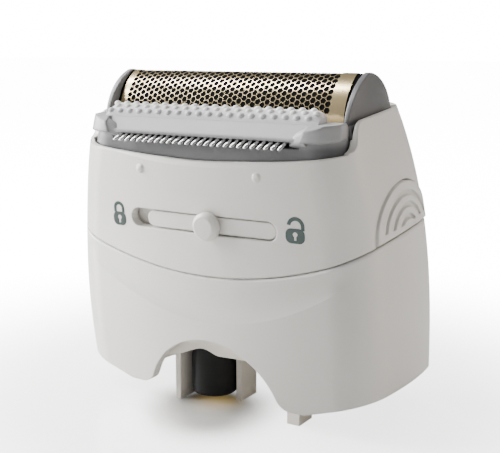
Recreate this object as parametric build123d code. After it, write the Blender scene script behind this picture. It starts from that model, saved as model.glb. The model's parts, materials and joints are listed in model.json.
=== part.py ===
from build123d import *
import math
import os

# Shaver head: a foil cassette, a long-hair trimmer and their drive in a two-part casing.
# All sizes are in millimetres. The handle axis is vertical and the head leans forward over it.

# Lean of the head and place of its middle plane
HEAD_TILT = 6.0
SET_BACK = 2.16

# Outer skin of the casing: height, half width, depth to the front, depth to the rear
SKIN = (
    (-2.0, 25.6, 12.9, 13.0),
    (10.0, 25.85, 13.0, 13.4),
    (24.0, 25.4, 12.9, 13.5),
    (34.5, 23.9, 12.8, 13.0),
    (40.0, 22.7, 12.7, 12.2),
    (43.6, 21.8, 12.2, 11.2),
)
CORNER_SHARE = 0.93
CORNER_RADIUS = 6.0
WALL = 1.5
CEILING = 1.4

# Seam between skirt and upper housing, a curve that rises to both sides
SEAM_Z = 22.0
SEAM_RADIUS = 59.0
SEAM_GAP = 0.2
LIP_THICKNESS = 0.9
LIP_HEIGHT = 2.0
LIP_PLAY = 0.08
BEAD_HEIGHT = 1.2

# Lower edge of the skirt
FOOT_Z = 2.4
FOOT_X = 15.0
SIDE_Z = 5.8
ARCH_RADIUS = 11.5
ARCH_CENTRE_Z = -0.5
ARCH_FLARE = 2.5

# Chassis deck under the ledge of the skirt
DECK_Z = 9.6
DECK_THICKNESS = 2.0
DECK_PLAY = 0.2
LEDGE_WIDTH = 3.4
LEDGE_THICKNESS = 1.2
SCREW_RADIUS = 0.8
SCREW_HEAD_RADIUS = 1.5
SCREW_HEAD_HEIGHT = 1.0
SCREW_LENGTH = 5.5
SCREW_SIDE_X = 22.0
SCREW_SIDE_Y = 2.2
SCREW_REAR_X = 12.0
SCREW_REAR_Y = 11.0
LEG_SIZE = 2.0
LEG_DEPTH = 3.7
LEG_FRONT_X = 12.4
LEG_FRONT_Y = -7.1
LEG_REAR_X = 16.6
LEG_REAR_Y = 9.1
PAD_HALF_X = 6.0
PAD_Y = (1.5, 6.5)
PAD_RISE = 0.5

# Drive coupling, its bush and its shaft
COUPLING_X = -3.4
COUPLING_Y = -5.2
COUPLING_RADIUS = 3.4
COUPLING_Z = 1.0
COUPLING_CLEARANCE = 0.4
BUSH_RADIUS = 2.7
BUSH_BORE = 2.0
KEY_DEPTH = 0.4
KEY_WIDTH = 1.0
BUSH_LENGTH = 6.0
SHAFT_RADIUS = 1.5
BEARING_WALL = 1.0
BEARING_FLANGE = 0.6
RUNNING_PLAY = 0.05
CRANK_RADIUS = 2.4
CRANK_HEIGHT = 1.2
CRANK_PIN_RADIUS = 0.6
STROKE = 0.75
SHROUD_WALL = 0.9
SHROUD_GAP = 0.3

# Oscillating bridge on two rods
ROD_RADIUS = 1.0
ROD_Z = 20.0
ROD_FRONT_Y = -5.5
ROD_REAR_Y = 2.0
ROD_TOWER_X = 12.5
TOWER_THICKNESS = 2.0
BRIDGE_HALF = 8.5
BRIDGE_Z = 15.2
BRIDGE_TOP = 22.4
BRIDGE_FRONT = -8.6
BRIDGE_REAR = 4.2
STEM_RADIUS = 1.6
STEM_TOP = 39.6
SHOULDER_RADIUS = 3.2
SHOULDER_TOP = 31.6
DRIVER_WIDTH = 2.0
DRIVER_Y = -7.5
DRIVER_DEPTH = 1.4
DRIVER_TOP = 39.2

# Foil, its frame and the cutter under it
FOIL_Y = 0.0
FOIL_APEX = 49.1
FOIL_BASE = 43.0
FOIL_HALF = 4.9
FOIL_THICKNESS = 0.3
FOIL_LENGTH = 38.4
FOIL_LEG = 1.4
HOLE_RADIUS = 0.72
HOLE_COLUMNS = 13
HOLE_PITCH = 2.55
HOLE_ROWS = 9
HOLE_SPREAD = 116.0
FRAME_HALF_X = 20.7
FRAME_HALF_Y = 6.9
FRAME_HEIGHT = 1.8
CHEEK_X = 19.6
CHEEK_APEX = 49.1
CHEEK_DOME = 40.0
FLOAT_GAP = 0.3
FOIL_TRAVEL = 1.4
CUTTER_HALF = 16.2
CUTTER_GAP = 0.15
BLADE_COUNT = 23
BLADE_THICKNESS = 0.35
BLADE_STRIP = 0.5
SPINE_HALF_Y = 1.2
SPINE_TOP = 43.4
SPINE_BOTTOM = 41.6
CARRIER_HALF_X = 5.0
CARRIER_HALF_Y = 2.6
CARRIER_BOTTOM = 36.4

# Trimmer bar in front of the foil
TRIM_HALF = 20.5
TRIM_REAR = -7.3
TRIM_BOTTOM = 37.0
TRIM_SEAT = 40.6
TRIM_INSET = 1.0
TRIM_TRAVEL = 1.2
LOBE_X = 15.2
LOBE_SLANT = 1.4
LOBE_TOP = 44.2
LOBE_FALL = 2.2
LOBE_INSET = 0.1
LOBE_ROUND = 1.3
LOBE_DEPTH = 6.2
NOTCH_Z = 38.5
NOTCH_RISE = 1.5
NOTCH_X = 23.0
NOTCH_Y = -9.2
NOTCH_BEVEL = 50.0
SHOULDER_Y = -5.0
NUB_X = 9.64
NUB_Z = 36.9
NUB_RADIUS = 0.5
BLADE_SHEET = 0.4
COMB_TEETH = 27
COMB_PITCH = 1.04
TOOTH_GAP = 0.5
TOOTH_LENGTH = 1.9
COMB_TIP_Y = -13.1
COMB_ROOT_Y = -9.2
CAP_FRONT_Y = -11.5
CAP_CREST_Y = -9.9
CAP_CREST_Z = 43.6
STRIP_CREST_Z = 45.1
STRIP_HALF = 17.5
PIP_RADIUS = 0.42
PIP_HEIGHT = 0.35
PIP_COUNT = 19
PIP_PITCH = 1.7
LUG_WIDTH = 3.0
LUG_DEPTH = 2.2

# Lock slider in the front wall
SLOT_HALF = 12.15
SLOT_LOW = 28.1
SLOT_HIGH = 30.9
SLIDER_TRAVEL = 2.6
SLIDER_PLAY = 0.25
SLIDER_RECESS = 0.25
SLIDER_FLANGE_Y = -10.7
SLIDER_FLANGE = 0.9
KNOB_X = 1.5
KNOB_RADIUS = 2.0
KNOB_RISE = 1.3
PLATE_X = 6.6
PLATE_WIDTH = 4.0
PLATE_TOP = 36.7

# Release buttons in the sides
BUTTON_Y = 1.2
BUTTON_Z = 27.2
BUTTON_HALF = 9.0
BUTTON_RISE = 7.2
BUTTON_PLAY = 0.25
BUTTON_PROUD = 0.25
BUTTON_TRAVEL = 1.2
RIB_GROOVE = 0.4
STEM_HALF_Y = 2.0
STEM_LOW = 28.8
STEM_HIGH = 30.8
STEM_X = 15.5
STEM_TOWER_X = 17.2
STEM_PLAY = 0.2

# Coil springs of square wire
WIRE = 0.34
FOIL_SPRING_RADIUS = 0.9
FOIL_SPRING_X = 18.9
TRIM_SPRING_RADIUS = 0.95
TRIM_SPRING_X = 13.0
TRIM_SPRING_Y = -9.8
CUTTER_SPRING_RADIUS = 2.4
SHELF = 1.2
FOIL_SHELF_Z = 36.0
TRIM_SHELF_Z = 34.0

# Derived levels shared by several pieces
RIM_Z = SKIN[-1][0]
FAR = 80.0
DECK_TOP = DECK_Z + DECK_THICKNESS
FRAME_BOTTOM = FOIL_BASE - FRAME_HEIGHT
OPENING_X = FRAME_HALF_X + FLOAT_GAP
BEARING_RADIUS = SHAFT_RADIUS + BEARING_WALL
OPENING_REAR = FOIL_Y + FRAME_HALF_Y + FLOAT_GAP
OPENING_LOW = FRAME_BOTTOM - FOIL_TRAVEL - 2 * FLOAT_GAP


def block(x, y, z):
    """Box between three pairs of limits."""
    middle = Pos((x[0] + x[1]) / 2, (y[0] + y[1]) / 2, (z[0] + z[1]) / 2)
    return middle * Box(x[1] - x[0], y[1] - y[0], z[1] - z[0])


def rod(x, y, low, high, radius):
    """Upright cylinder between two heights."""
    return Pos(x, y, (low + high) / 2) * Cylinder(radius, high - low)


def leaned(shape):
    """Place a piece of the head in the frame of the handle."""
    return Rot(HEAD_TILT, 0, 0) * Pos(0, SET_BACK, 0) * shape


def upright(shape):
    """Place a piece given in the frame of the handle in that of the head."""
    return Pos(0, -SET_BACK, 0) * Rot(-HEAD_TILT, 0, 0) * shape


def both_sides(shape):
    """A piece and its mirror image across the middle plane."""
    return shape + mirror(shape, Plane.YZ)


def outline(z, half_width, front, rear, corner):
    """Plan of the casing at one height: four shallow arcs with rounded corners."""
    side = CORNER_SHARE * half_width
    near = -CORNER_SHARE * front
    away = CORNER_SHARE * rear
    edge = ThreePointArc((-side, near), (0, -front), (side, near))
    edge += ThreePointArc((side, near), (half_width, 0), (side, away))
    edge += ThreePointArc((side, away), (0, rear), (-side, away))
    edge += ThreePointArc((-side, away), (-half_width, 0), (-side, near))
    face = make_face(edge)
    return Pos(0, 0, z) * fillet(face.vertices(), corner)


def skin(inset):
    """Solid inside the casing's outer skin, drawn in by an inset."""
    plans = []
    for height, half_width, front, rear in SKIN:
        corner = CORNER_RADIUS - inset
        plans.append(outline(height, half_width - inset, front - inset, rear - inset, corner))
    return loft(plans)


def above_seam(distance):
    """Everything higher than the seam by a distance."""
    centre = Pos(0, 0, SEAM_Z + SEAM_RADIUS)
    return centre * Rot(90, 0, 0) * Cylinder(SEAM_RADIUS - distance, FAR)


def gothic(half, low, high, inset=0.0):
    """Pointed arch on the foil's middle plane, seen along X."""
    left = (FOIL_Y - half + inset, low)
    right = (FOIL_Y + half - inset, low)
    tip = (FOIL_Y, high - inset)
    swell = low + 0.56 * (high - low) - inset / 2
    left_side = (FOIL_Y - 0.70 * half + inset, swell)
    right_side = (FOIL_Y + 0.70 * half - inset, swell)
    edge = ThreePointArc(left, left_side, tip) + ThreePointArc(tip, right_side, right) + Line(right, left)
    face = make_face(edge)
    top = face.vertices().sort_by(Axis.Y)[-1]
    return fillet(top, 1.5)


def along_x(profile, start, end):
    """Prism of a profile drawn in Y and Z between two values of X."""
    return Pos(start, 0, 0) * extrude(Plane.YZ * profile, end - start)


def window(margin):
    """Prism of a release button's outline through the right wall."""
    half = BUTTON_HALF + margin
    rise = BUTTON_RISE + margin
    profile = Pos(BUTTON_Y, BUTTON_Z) * Ellipse(half, rise)
    profile -= Pos(BUTTON_Y, BUTTON_Z - rise) * Rectangle(3 * half, 2 * rise)
    profile += Pos(BUTTON_Y, BUTTON_Z - WALL) * Rectangle(2 * half, 2 * WALL)
    return along_x(profile, STEM_TOWER_X + TOWER_THICKNESS, FAR / 2)


def spring(x, y, low, high, radius, turns):
    """Coil of square wire between two seats."""
    height = high - low - WIRE
    path = Helix(height / turns, height, radius, center=(x, y, low + WIRE / 2))
    section = Plane(path @ 0, x_dir=(0, 0, 1), z_dir=path % 0) * Rectangle(WIRE, WIRE)
    return sweep(section, path, is_frenet=True)


def wide(profile):
    """Prism of a front profile through the whole depth."""
    return extrude(Plane.XZ * profile, FAR / 2, both=True)


# Shared solids of the casing
outer = skin(0)
inner = skin(WALL)
button_windows = both_sides(window(0))

# Skirt with its front arch, its inner ledge for the deck and its lip under the housing
slope = (SIDE_Z - FOOT_Z) / (SKIN[1][1] - FOOT_X)
edge_end = FOOT_Z + slope * (FAR / 2 - FOOT_X)
underside = make_face(
    Polyline(
        (-FAR / 2, -FAR / 2),
        (FAR / 2, -FAR / 2),
        (FAR / 2, edge_end),
        (FOOT_X, FOOT_Z),
        (-FOOT_X, FOOT_Z),
        (-FAR / 2, edge_end),
        close=True,
    )
)
arched = underside + Pos(0, ARCH_CENTRE_Z) * Circle(ARCH_RADIUS)
corners = [v for v in arched.vertices() if abs(v.Y - FOOT_Z) < 0.01 and abs(v.X) < FOOT_X - 0.5]
arched = fillet(corners, ARCH_FLARE)
front_half = block((-FAR, FAR), (-FAR, 0), (-FAR, FAR))
skirt = outer - inner - above_seam(-SEAM_GAP / 2)
lip_band = above_seam(-LIP_HEIGHT) - above_seam(LIP_HEIGHT)
lip = (skin(WALL + LIP_PLAY) - skin(WALL + LIP_THICKNESS)) & lip_band
root_band = above_seam(-2 * LIP_HEIGHT) - above_seam(-LIP_HEIGHT / 2)
lip_root = (skin(WALL / 2) - skin(WALL + LIP_THICKNESS)) & root_band
ledge_slab = upright(block((-FAR, FAR), (-FAR, FAR), (DECK_TOP, DECK_TOP + LEDGE_THICKNESS)))
ledge = ledge_slab & (skin(WALL / 2) - skin(WALL + LEDGE_WIDTH))
skirt += lip - button_windows + lip_root + ledge
skirt = leaned(skirt)
screw_places = [
    (SCREW_SIDE_X, SCREW_SIDE_Y),
    (-SCREW_SIDE_X, SCREW_SIDE_Y),
    (SCREW_REAR_X, SCREW_REAR_Y),
    (-SCREW_REAR_X, SCREW_REAR_Y),
]
for x, y in screw_places:
    skirt += rod(x, y, DECK_TOP, DECK_TOP + SCREW_LENGTH, 2 * SCREW_RADIUS)
for x, y in screw_places:
    skirt -= rod(x, y, DECK_Z, DECK_TOP + SCREW_LENGTH - SCREW_RADIUS, SCREW_RADIUS)
drive_well = BEARING_RADIUS + BEARING_WALL + FLOAT_GAP
skirt -= rod(COUPLING_X, COUPLING_Y, DECK_TOP, DECK_TOP + 3 * LEDGE_THICKNESS, drive_well) & leaned(inner)
skirt -= wide(arched) & front_half
skirt -= wide(underside)

# Upper housing: open top for foil and trimmer, slot for the lock, windows for the buttons
hollow = inner & block((-FAR, FAR), (-FAR, FAR), (-FAR, RIM_Z - CEILING))
housing = (outer - hollow) & above_seam(SEAM_GAP / 2)
bead_band = above_seam(LIP_HEIGHT + LIP_PLAY) - above_seam(LIP_HEIGHT + BEAD_HEIGHT)
housing += (skin(WALL / 2) - skin(WALL + LIP_THICKNESS)) & bead_band
foil_shelf = block((STEM_TOWER_X, FAR), (FOIL_Y - 1.8, FOIL_Y + 1.8), (FOIL_SHELF_Z - SHELF, FOIL_SHELF_Z))
trim_shelf = block(
    (TRIM_SPRING_X - 2, TRIM_SPRING_X + 2),
    (-FAR, TRIM_SPRING_Y + 1.6),
    (TRIM_SHELF_Z - SHELF, TRIM_SHELF_Z),
)
housing += both_sides(foil_shelf + trim_shelf) & skin(WALL / 3)
notch_side = NOTCH_Z + NOTCH_RISE
notch_top = RIM_Z + 2
notch = make_face(
    Polyline((NOTCH_X, notch_side), (NOTCH_X, notch_top), (-NOTCH_X, notch_top), (-NOTCH_X, notch_side))
    + ThreePointArc((-NOTCH_X, notch_side), (0, NOTCH_Z), (NOTCH_X, notch_side))
)
pocket_x = TRIM_HALF + FLOAT_GAP
pocket_y = TRIM_REAR + FLOAT_GAP
housing -= wide(notch) & block((-FAR, FAR), (-FAR, NOTCH_Y), (-FAR, FAR))
housing -= wide(notch) & block((-pocket_x, pocket_x), (-FAR, pocket_y), (-FAR, FAR))
rim_y = TRIM_INSET - FLOAT_GAP - SKIN[4][2]
bevel = Pos(0, rim_y, NOTCH_Z) * Rot(NOTCH_BEVEL, 0, 0) * Pos(0, -rim_y, -NOTCH_Z) * wide(notch)
housing -= bevel & block((-FAR, FAR), (-FAR, rim_y), (-FAR, FAR))
shoulder = make_face(
    Polyline(
        (SHOULDER_Y, RIM_Z),
        (SHOULDER_Y, notch_top),
        (-FAR, notch_top),
        (-FAR, notch_side),
        (NOTCH_Y, notch_side),
    )
    + Spline((NOTCH_Y, notch_side), (SHOULDER_Y, RIM_Z), tangents=((1, 0), (1, 0)))
)
housing -= along_x(shoulder, -FAR, FAR)
pocket_low = TRIM_BOTTOM - TRIM_TRAVEL - FLOAT_GAP
pocket = block((-pocket_x, pocket_x), (-FAR, pocket_y), (pocket_low, FAR))
housing -= pocket & skin(TRIM_INSET - FLOAT_GAP)
housing -= block((-OPENING_X, OPENING_X), (TRIM_REAR, OPENING_REAR), (OPENING_LOW, FAR))
slot_middle = (SLOT_LOW + SLOT_HIGH) / 2
slot_shape = Pos(0, slot_middle) * SlotOverall(2 * SLOT_HALF, SLOT_HIGH - SLOT_LOW)
housing -= wide(slot_shape) & block((-FAR, FAR), (-FAR, SLIDER_FLANGE_Y + 1), (-FAR, FAR))
nub = Pos(NUB_X, WALL / 4 - SKIN[3][2], NUB_Z) * Sphere(NUB_RADIUS)
housing += both_sides(nub)
housing -= button_windows
housing = leaned(housing)

# Chassis: deck, shroud round the coupling, legs and the towers of the mechanism
deck = upright(block((-FAR, FAR), (-FAR, FAR), (DECK_Z, DECK_TOP))) & skin(WALL + DECK_PLAY)
rod_tower = block(
    (ROD_TOWER_X - TOWER_THICKNESS / 2, ROD_TOWER_X + TOWER_THICKNESS / 2),
    (ROD_FRONT_Y - 2 * ROD_RADIUS, ROD_REAR_Y + 2 * ROD_RADIUS),
    (DECK_Z + 1, ROD_Z + 2 * ROD_RADIUS),
)
stem_tower = block(
    (STEM_TOWER_X - TOWER_THICKNESS / 2, STEM_TOWER_X + TOWER_THICKNESS / 2),
    (BUTTON_Y - STEM_HALF_Y - 1.2, BUTTON_Y + STEM_HALF_Y + 1.2),
    (DECK_Z + 1, STEM_HIGH + 1.4),
)
stem_tower -= block(
    (STEM_TOWER_X - TOWER_THICKNESS, STEM_TOWER_X + TOWER_THICKNESS),
    (BUTTON_Y - STEM_HALF_Y - STEM_PLAY, BUTTON_Y + STEM_HALF_Y + STEM_PLAY),
    (STEM_LOW - STEM_PLAY, STEM_HIGH + STEM_PLAY),
)
towers = both_sides(rod_tower + stem_tower)
rods = []
for y in (ROD_FRONT_Y, ROD_REAR_Y):
    length = 2 * ROD_TOWER_X + TOWER_THICKNESS
    rods.append(Pos(0, y, ROD_Z) * Rot(0, 90, 0) * Cylinder(ROD_RADIUS, length))
chassis = deck + towers - rods
chassis = leaned(chassis)
shroud_reach = COUPLING_RADIUS + SHROUD_GAP
shroud_out = shroud_reach + SHROUD_WALL
shroud = block(
    (COUPLING_X - shroud_out, COUPLING_X + shroud_out),
    (COUPLING_Y - shroud_reach, COUPLING_Y + shroud_out),
    (0, DECK_Z + 1),
)
shroud -= block(
    (COUPLING_X - shroud_reach, COUPLING_X + shroud_reach),
    (COUPLING_Y - 2 * shroud_out, COUPLING_Y + shroud_reach),
    (-1, DECK_Z),
)
shroud -= block(
    (COUPLING_X, COUPLING_X + 2 * shroud_out),
    (COUPLING_Y - 2 * shroud_out, COUPLING_Y + SHROUD_GAP),
    (-1, DECK_Z),
)
leg = block((-LEG_SIZE / 2, LEG_SIZE / 2), (-LEG_DEPTH / 2, LEG_DEPTH / 2), (0, DECK_Z + 1))
chassis += shroud + Pos(LEG_FRONT_X, LEG_FRONT_Y, 0) * leg
chassis += both_sides(Pos(LEG_REAR_X, LEG_REAR_Y, 0) * leg)
chassis += block((-PAD_HALF_X, PAD_HALF_X), PAD_Y, (DECK_Z - PAD_RISE, DECK_Z + PAD_RISE))
chassis -= rod(COUPLING_X, COUPLING_Y, 0, DECK_TOP + 1, BEARING_RADIUS)
for x, y in screw_places:
    chassis -= rod(x, y, 0, DECK_TOP + 1, SCREW_RADIUS + RUNNING_PLAY)

# Screws that clamp the deck to the ledge
screws = []
for x, y in screw_places:
    screw = rod(x, y, DECK_Z, DECK_TOP + SCREW_LENGTH - 2 * SCREW_RADIUS, SCREW_RADIUS)
    screw += rod(x, y, DECK_Z - SCREW_HEAD_HEIGHT, DECK_Z, SCREW_HEAD_RADIUS)
    slot = block((-SCREW_HEAD_RADIUS, SCREW_HEAD_RADIUS), (-0.2, 0.2), (0, SCREW_HEAD_HEIGHT / 2))
    screws.append(screw - Pos(x, y, DECK_Z - SCREW_HEAD_HEIGHT) * slot)

# Drive: bearing in the deck, coupling with its bush, shaft with crank and pin
bearing = rod(COUPLING_X, COUPLING_Y, DECK_Z, DECK_TOP + BEARING_FLANGE, BEARING_RADIUS)
bearing += rod(COUPLING_X, COUPLING_Y, DECK_TOP, DECK_TOP + BEARING_FLANGE, BEARING_RADIUS + BEARING_WALL)
bearing -= rod(COUPLING_X, COUPLING_Y, 0, FAR, SHAFT_RADIUS + RUNNING_PLAY)
coupling_top = DECK_Z - COUPLING_CLEARANCE
coupling = rod(COUPLING_X, COUPLING_Y, COUPLING_Z, coupling_top, COUPLING_RADIUS)
coupling = fillet(coupling.edges().sort_by(Axis.Z)[0], 0.6)
coupling -= rod(COUPLING_X, COUPLING_Y, 0, COUPLING_Z + BUSH_LENGTH, BUSH_RADIUS)
coupling -= rod(COUPLING_X, COUPLING_Y, 0, FAR, SHAFT_RADIUS)
bush_bore = rod(0, 0, COUPLING_Z, COUPLING_Z + BUSH_LENGTH, BUSH_BORE)
key_reach = BUSH_BORE + KEY_DEPTH
bush_bore += block(
    (-key_reach, key_reach),
    (-KEY_WIDTH / 2, KEY_WIDTH / 2),
    (COUPLING_Z, COUPLING_Z + BUSH_LENGTH),
)
bush = rod(COUPLING_X, COUPLING_Y, COUPLING_Z, COUPLING_Z + BUSH_LENGTH, BUSH_RADIUS)
bush -= Pos(COUPLING_X, COUPLING_Y, 0) * bush_bore
crank_low = DECK_TOP + BEARING_FLANGE + RUNNING_PLAY * 4
crank_high = crank_low + CRANK_HEIGHT
shaft = rod(COUPLING_X, COUPLING_Y, COUPLING_Z + BUSH_LENGTH, crank_low, SHAFT_RADIUS)
shaft += rod(COUPLING_X, COUPLING_Y, crank_low, crank_high, CRANK_RADIUS)
shaft += rod(COUPLING_X, COUPLING_Y + STROKE, crank_high, BRIDGE_Z + 2, CRANK_PIN_RADIUS)

# Bridge that the crank pin swings from side to side
pin_y = COUPLING_Y - SET_BACK + math.tan(math.radians(HEAD_TILT)) * (BRIDGE_Z + 1)
bridge = block((-BRIDGE_HALF, BRIDGE_HALF), (BRIDGE_FRONT, BRIDGE_REAR), (BRIDGE_Z, BRIDGE_TOP))
for y in (ROD_FRONT_Y, ROD_REAR_Y):
    bridge -= Pos(0, y, ROD_Z) * Rot(0, 90, 0) * Cylinder(ROD_RADIUS + RUNNING_PLAY, FAR)
slot_x = 2 * STROKE + CRANK_PIN_RADIUS + FLOAT_GAP
slot_y = STROKE + CRANK_PIN_RADIUS + FLOAT_GAP
bridge -= block(
    (COUPLING_X - slot_x, COUPLING_X + slot_x),
    (pin_y - slot_y, pin_y + slot_y),
    (0, BRIDGE_Z + 2.6),
)
bridge += rod(0, FOIL_Y, BRIDGE_TOP, SHOULDER_TOP, SHOULDER_RADIUS)
bridge += rod(0, FOIL_Y, SHOULDER_TOP, STEM_TOP, STEM_RADIUS)
bridge += block(
    (-DRIVER_WIDTH / 2, DRIVER_WIDTH / 2),
    (DRIVER_Y - DRIVER_DEPTH / 2, DRIVER_Y + DRIVER_DEPTH / 2),
    (BRIDGE_TOP, DRIVER_TOP),
)
prong_half = DRIVER_WIDTH / 4
lug_y = (COMB_ROOT_Y + CAP_FRONT_Y) / 2
prong_low = TRIM_SEAT - LUG_DEPTH - FLOAT_GAP
bridge += block((-prong_half, prong_half), (lug_y - 0.6, DRIVER_Y), (prong_low, DRIVER_TOP))
bridge = leaned(bridge)

# Cutter: carrier on the bridge's stem, with a strip of arched blades
carrier = block(
    (-CARRIER_HALF_X, CARRIER_HALF_X),
    (FOIL_Y - CARRIER_HALF_Y, FOIL_Y + CARRIER_HALF_Y),
    (CARRIER_BOTTOM, SPINE_BOTTOM),
)
carrier += block(
    (-CUTTER_HALF, CUTTER_HALF),
    (FOIL_Y - SPINE_HALF_Y, FOIL_Y + SPINE_HALF_Y),
    (SPINE_BOTTOM, SPINE_TOP),
)
carrier -= rod(0, FOIL_Y, 0, STEM_TOP + FOIL_TRAVEL + FLOAT_GAP, STEM_RADIUS + RUNNING_PLAY)
blades = block(
    (-CUTTER_HALF, CUTTER_HALF),
    (FOIL_Y - SPINE_HALF_Y, FOIL_Y + SPINE_HALF_Y),
    (SPINE_TOP, SPINE_TOP + BLADE_STRIP),
)
blade_shape = gothic(FOIL_HALF, FOIL_BASE, FOIL_APEX, FOIL_THICKNESS + CUTTER_GAP)
blade_shape -= Pos(FOIL_Y, SPINE_TOP - FAR / 2) * Rectangle(FAR, FAR)
blade_step = (2 * CUTTER_HALF - BLADE_THICKNESS) / (BLADE_COUNT - 1)
for number in range(BLADE_COUNT):
    start = -CUTTER_HALF + number * blade_step
    blades += along_x(blade_shape, start, start + BLADE_THICKNESS)

# Foil: a thin pointed vault with rows of hexagonal holes and two legs
foil_outside = gothic(FOIL_HALF, FOIL_BASE, FOIL_APEX)
foil_inside = gothic(FOIL_HALF, FOIL_BASE, FOIL_APEX, FOIL_THICKNESS)
foil = along_x(foil_outside - foil_inside, -FOIL_LENGTH / 2, FOIL_LENGTH / 2)
hole_centre = FOIL_BASE + 0.3 * (FOIL_APEX - FOIL_BASE)
hole = extrude(RegularPolygon(HOLE_RADIUS, 6), FAR / 4)
holes = []
for row in range(HOLE_ROWS):
    swing = HOLE_SPREAD * (row / (HOLE_ROWS - 1) - 0.5)
    stagger = 0.5 * (row % 2)
    for column in range(HOLE_COLUMNS - row % 2):
        x = (column + stagger - (HOLE_COLUMNS - 1) / 2) * HOLE_PITCH
        holes.append(Pos(x, FOIL_Y, hole_centre) * Rot(swing, 0, 0) * hole)
foil -= holes
for side in (-1, 1):
    face_y = FOIL_Y + side * FOIL_HALF
    inside_y = face_y - side * FOIL_THICKNESS
    foil += block(
        (-FOIL_LENGTH / 2, FOIL_LENGTH / 2),
        sorted((face_y, inside_y)),
        (FOIL_BASE - FOIL_LEG, FOIL_BASE),
    )

# Foil frame: two rails, two domed cheeks, hooks under the ceiling and pads for the springs
frame = block(
    (-FRAME_HALF_X, FRAME_HALF_X),
    (FOIL_Y - FRAME_HALF_Y, FOIL_Y + FRAME_HALF_Y),
    (FRAME_BOTTOM, FOIL_BASE),
)
frame -= block((-CHEEK_X, CHEEK_X), (FOIL_Y - FOIL_HALF, FOIL_Y + FOIL_HALF), (0, FAR))
cheek = along_x(gothic(FRAME_HALF_Y, FOIL_BASE, CHEEK_APEX), CHEEK_X, FRAME_HALF_X)
cheek &= Pos(FRAME_HALF_X - CHEEK_DOME, FOIL_Y, FOIL_BASE + 1) * Sphere(CHEEK_DOME)
pad = block(
    (FOIL_SPRING_X - 1.2, FRAME_HALF_X),
    (FOIL_Y - 1.5, FOIL_Y + 1.5),
    (FRAME_BOTTOM - 0.8, FRAME_BOTTOM),
)
hook_top = RIM_Z - CEILING - FLOAT_GAP
hook_y = FOIL_Y + FRAME_HALF_Y
hook = block((9, 13), (hook_y - 1.2, hook_y + 1.0), (FRAME_BOTTOM - 1, min(FRAME_BOTTOM, hook_top)))
hook += block((9, 13), (hook_y - 1.2, hook_y), (FRAME_BOTTOM - 1, FRAME_BOTTOM + 0.5))
frame += both_sides(cheek + pad + hook)

# Trimmer bar: base and rounded ends that follow the casing, cap over the blades
base_zone = block((-TRIM_HALF, TRIM_HALF), (-FAR, TRIM_REAR), (TRIM_BOTTOM, TRIM_SEAT))
trim = base_zone & skin(TRIM_INSET)
lobe_low = TRIM_SEAT - BLADE_SHEET
lobe_front = make_face(
    Polyline(
        (LOBE_X, lobe_low),
        (TRIM_HALF, lobe_low),
        (TRIM_HALF, LOBE_TOP),
        (LOBE_X + LOBE_SLANT, LOBE_TOP),
        close=True,
    )
)
lobe_front = fillet(lobe_front.vertices().group_by(Axis.Y)[-1], LOBE_ROUND)
lobe_end = TRIM_REAR - LOBE_DEPTH
lobe_side = make_face(
    Polyline(
        (TRIM_REAR, lobe_low),
        (TRIM_REAR, LOBE_TOP),
        (TRIM_REAR - LOBE_DEPTH / 3, LOBE_TOP),
        (lobe_end, LOBE_TOP - LOBE_FALL),
        (lobe_end, lobe_low),
        close=True,
    )
)
lobe_side = fillet(lobe_side.vertices().group_by(Axis.Y)[-1], LOBE_ROUND)
overhang_low = notch_side + TRIM_TRAVEL + FLOAT_GAP
overhang = skin(LOBE_INSET) & block((-FAR, FAR), (-FAR, FAR), (overhang_low, FAR))
lobe = wide(lobe_front) & along_x(lobe_side, LOBE_X, TRIM_HALF) & (skin(TRIM_INSET) + overhang)
lobe -= block((0, STRIP_HALF), (CAP_CREST_Y, FAR), (CAP_CREST_Z, FAR))
comb_low = TRIM_SEAT + BLADE_SHEET + 2 * RUNNING_PLAY
comb_high = comb_low + BLADE_SHEET
cap_shape = make_face(
    Polyline(
        (CAP_FRONT_Y, comb_high),
        (CAP_FRONT_Y, comb_high + BLADE_SHEET),
        (CAP_CREST_Y, CAP_CREST_Z),
        (TRIM_REAR, CAP_CREST_Z),
        (TRIM_REAR, TRIM_SEAT),
        (COMB_ROOT_Y, TRIM_SEAT),
        (COMB_ROOT_Y, comb_high),
        close=True,
    )
)
trim += both_sides(lobe)
trim += along_x(cap_shape, -STRIP_HALF, STRIP_HALF) & skin(LOBE_INSET)
trim -= block(
    (-LUG_WIDTH / 2 - STROKE - FLOAT_GAP, LUG_WIDTH / 2 + STROKE + FLOAT_GAP),
    (lug_y - 1.1, TRIM_REAR + 1),
    (0, TRIM_SEAT),
)
trim -= block(
    (PLATE_X - PLATE_WIDTH / 2 - SLIDER_TRAVEL - FLOAT_GAP, PLATE_X + PLATE_WIDTH / 2 + FLOAT_GAP),
    (SLIDER_FLANGE_Y, TRIM_REAR + 1),
    (0, PLATE_TOP + TRIM_TRAVEL + FLOAT_GAP),
)

# Comb and moving blade of the trimmer
comb_half = (COMB_TEETH - 1) * COMB_PITCH / 2 + (COMB_PITCH - TOOTH_GAP) / 2
comb = block((-comb_half, comb_half), (COMB_TIP_Y, COMB_ROOT_Y), (comb_low, comb_high))
for number in range(COMB_TEETH - 1):
    x = (number - (COMB_TEETH - 2) / 2) * COMB_PITCH
    comb -= block((x - TOOTH_GAP / 2, x + TOOTH_GAP / 2), (-FAR, COMB_TIP_Y + TOOTH_LENGTH), (0, FAR))
cutter_half = comb_half - 2 * STROKE
trim_blade = block((-cutter_half, cutter_half), (COMB_TIP_Y + 0.4, COMB_ROOT_Y - 0.4), (TRIM_SEAT, comb_low))
trim_blade -= block((-FAR, FAR), (-FAR, FAR), (0, TRIM_SEAT + RUNNING_PLAY))
trim_blade -= block((-FAR, FAR), (-FAR, FAR), (comb_low - RUNNING_PLAY, FAR))
blade_pitch = 1.5 * COMB_PITCH
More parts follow.
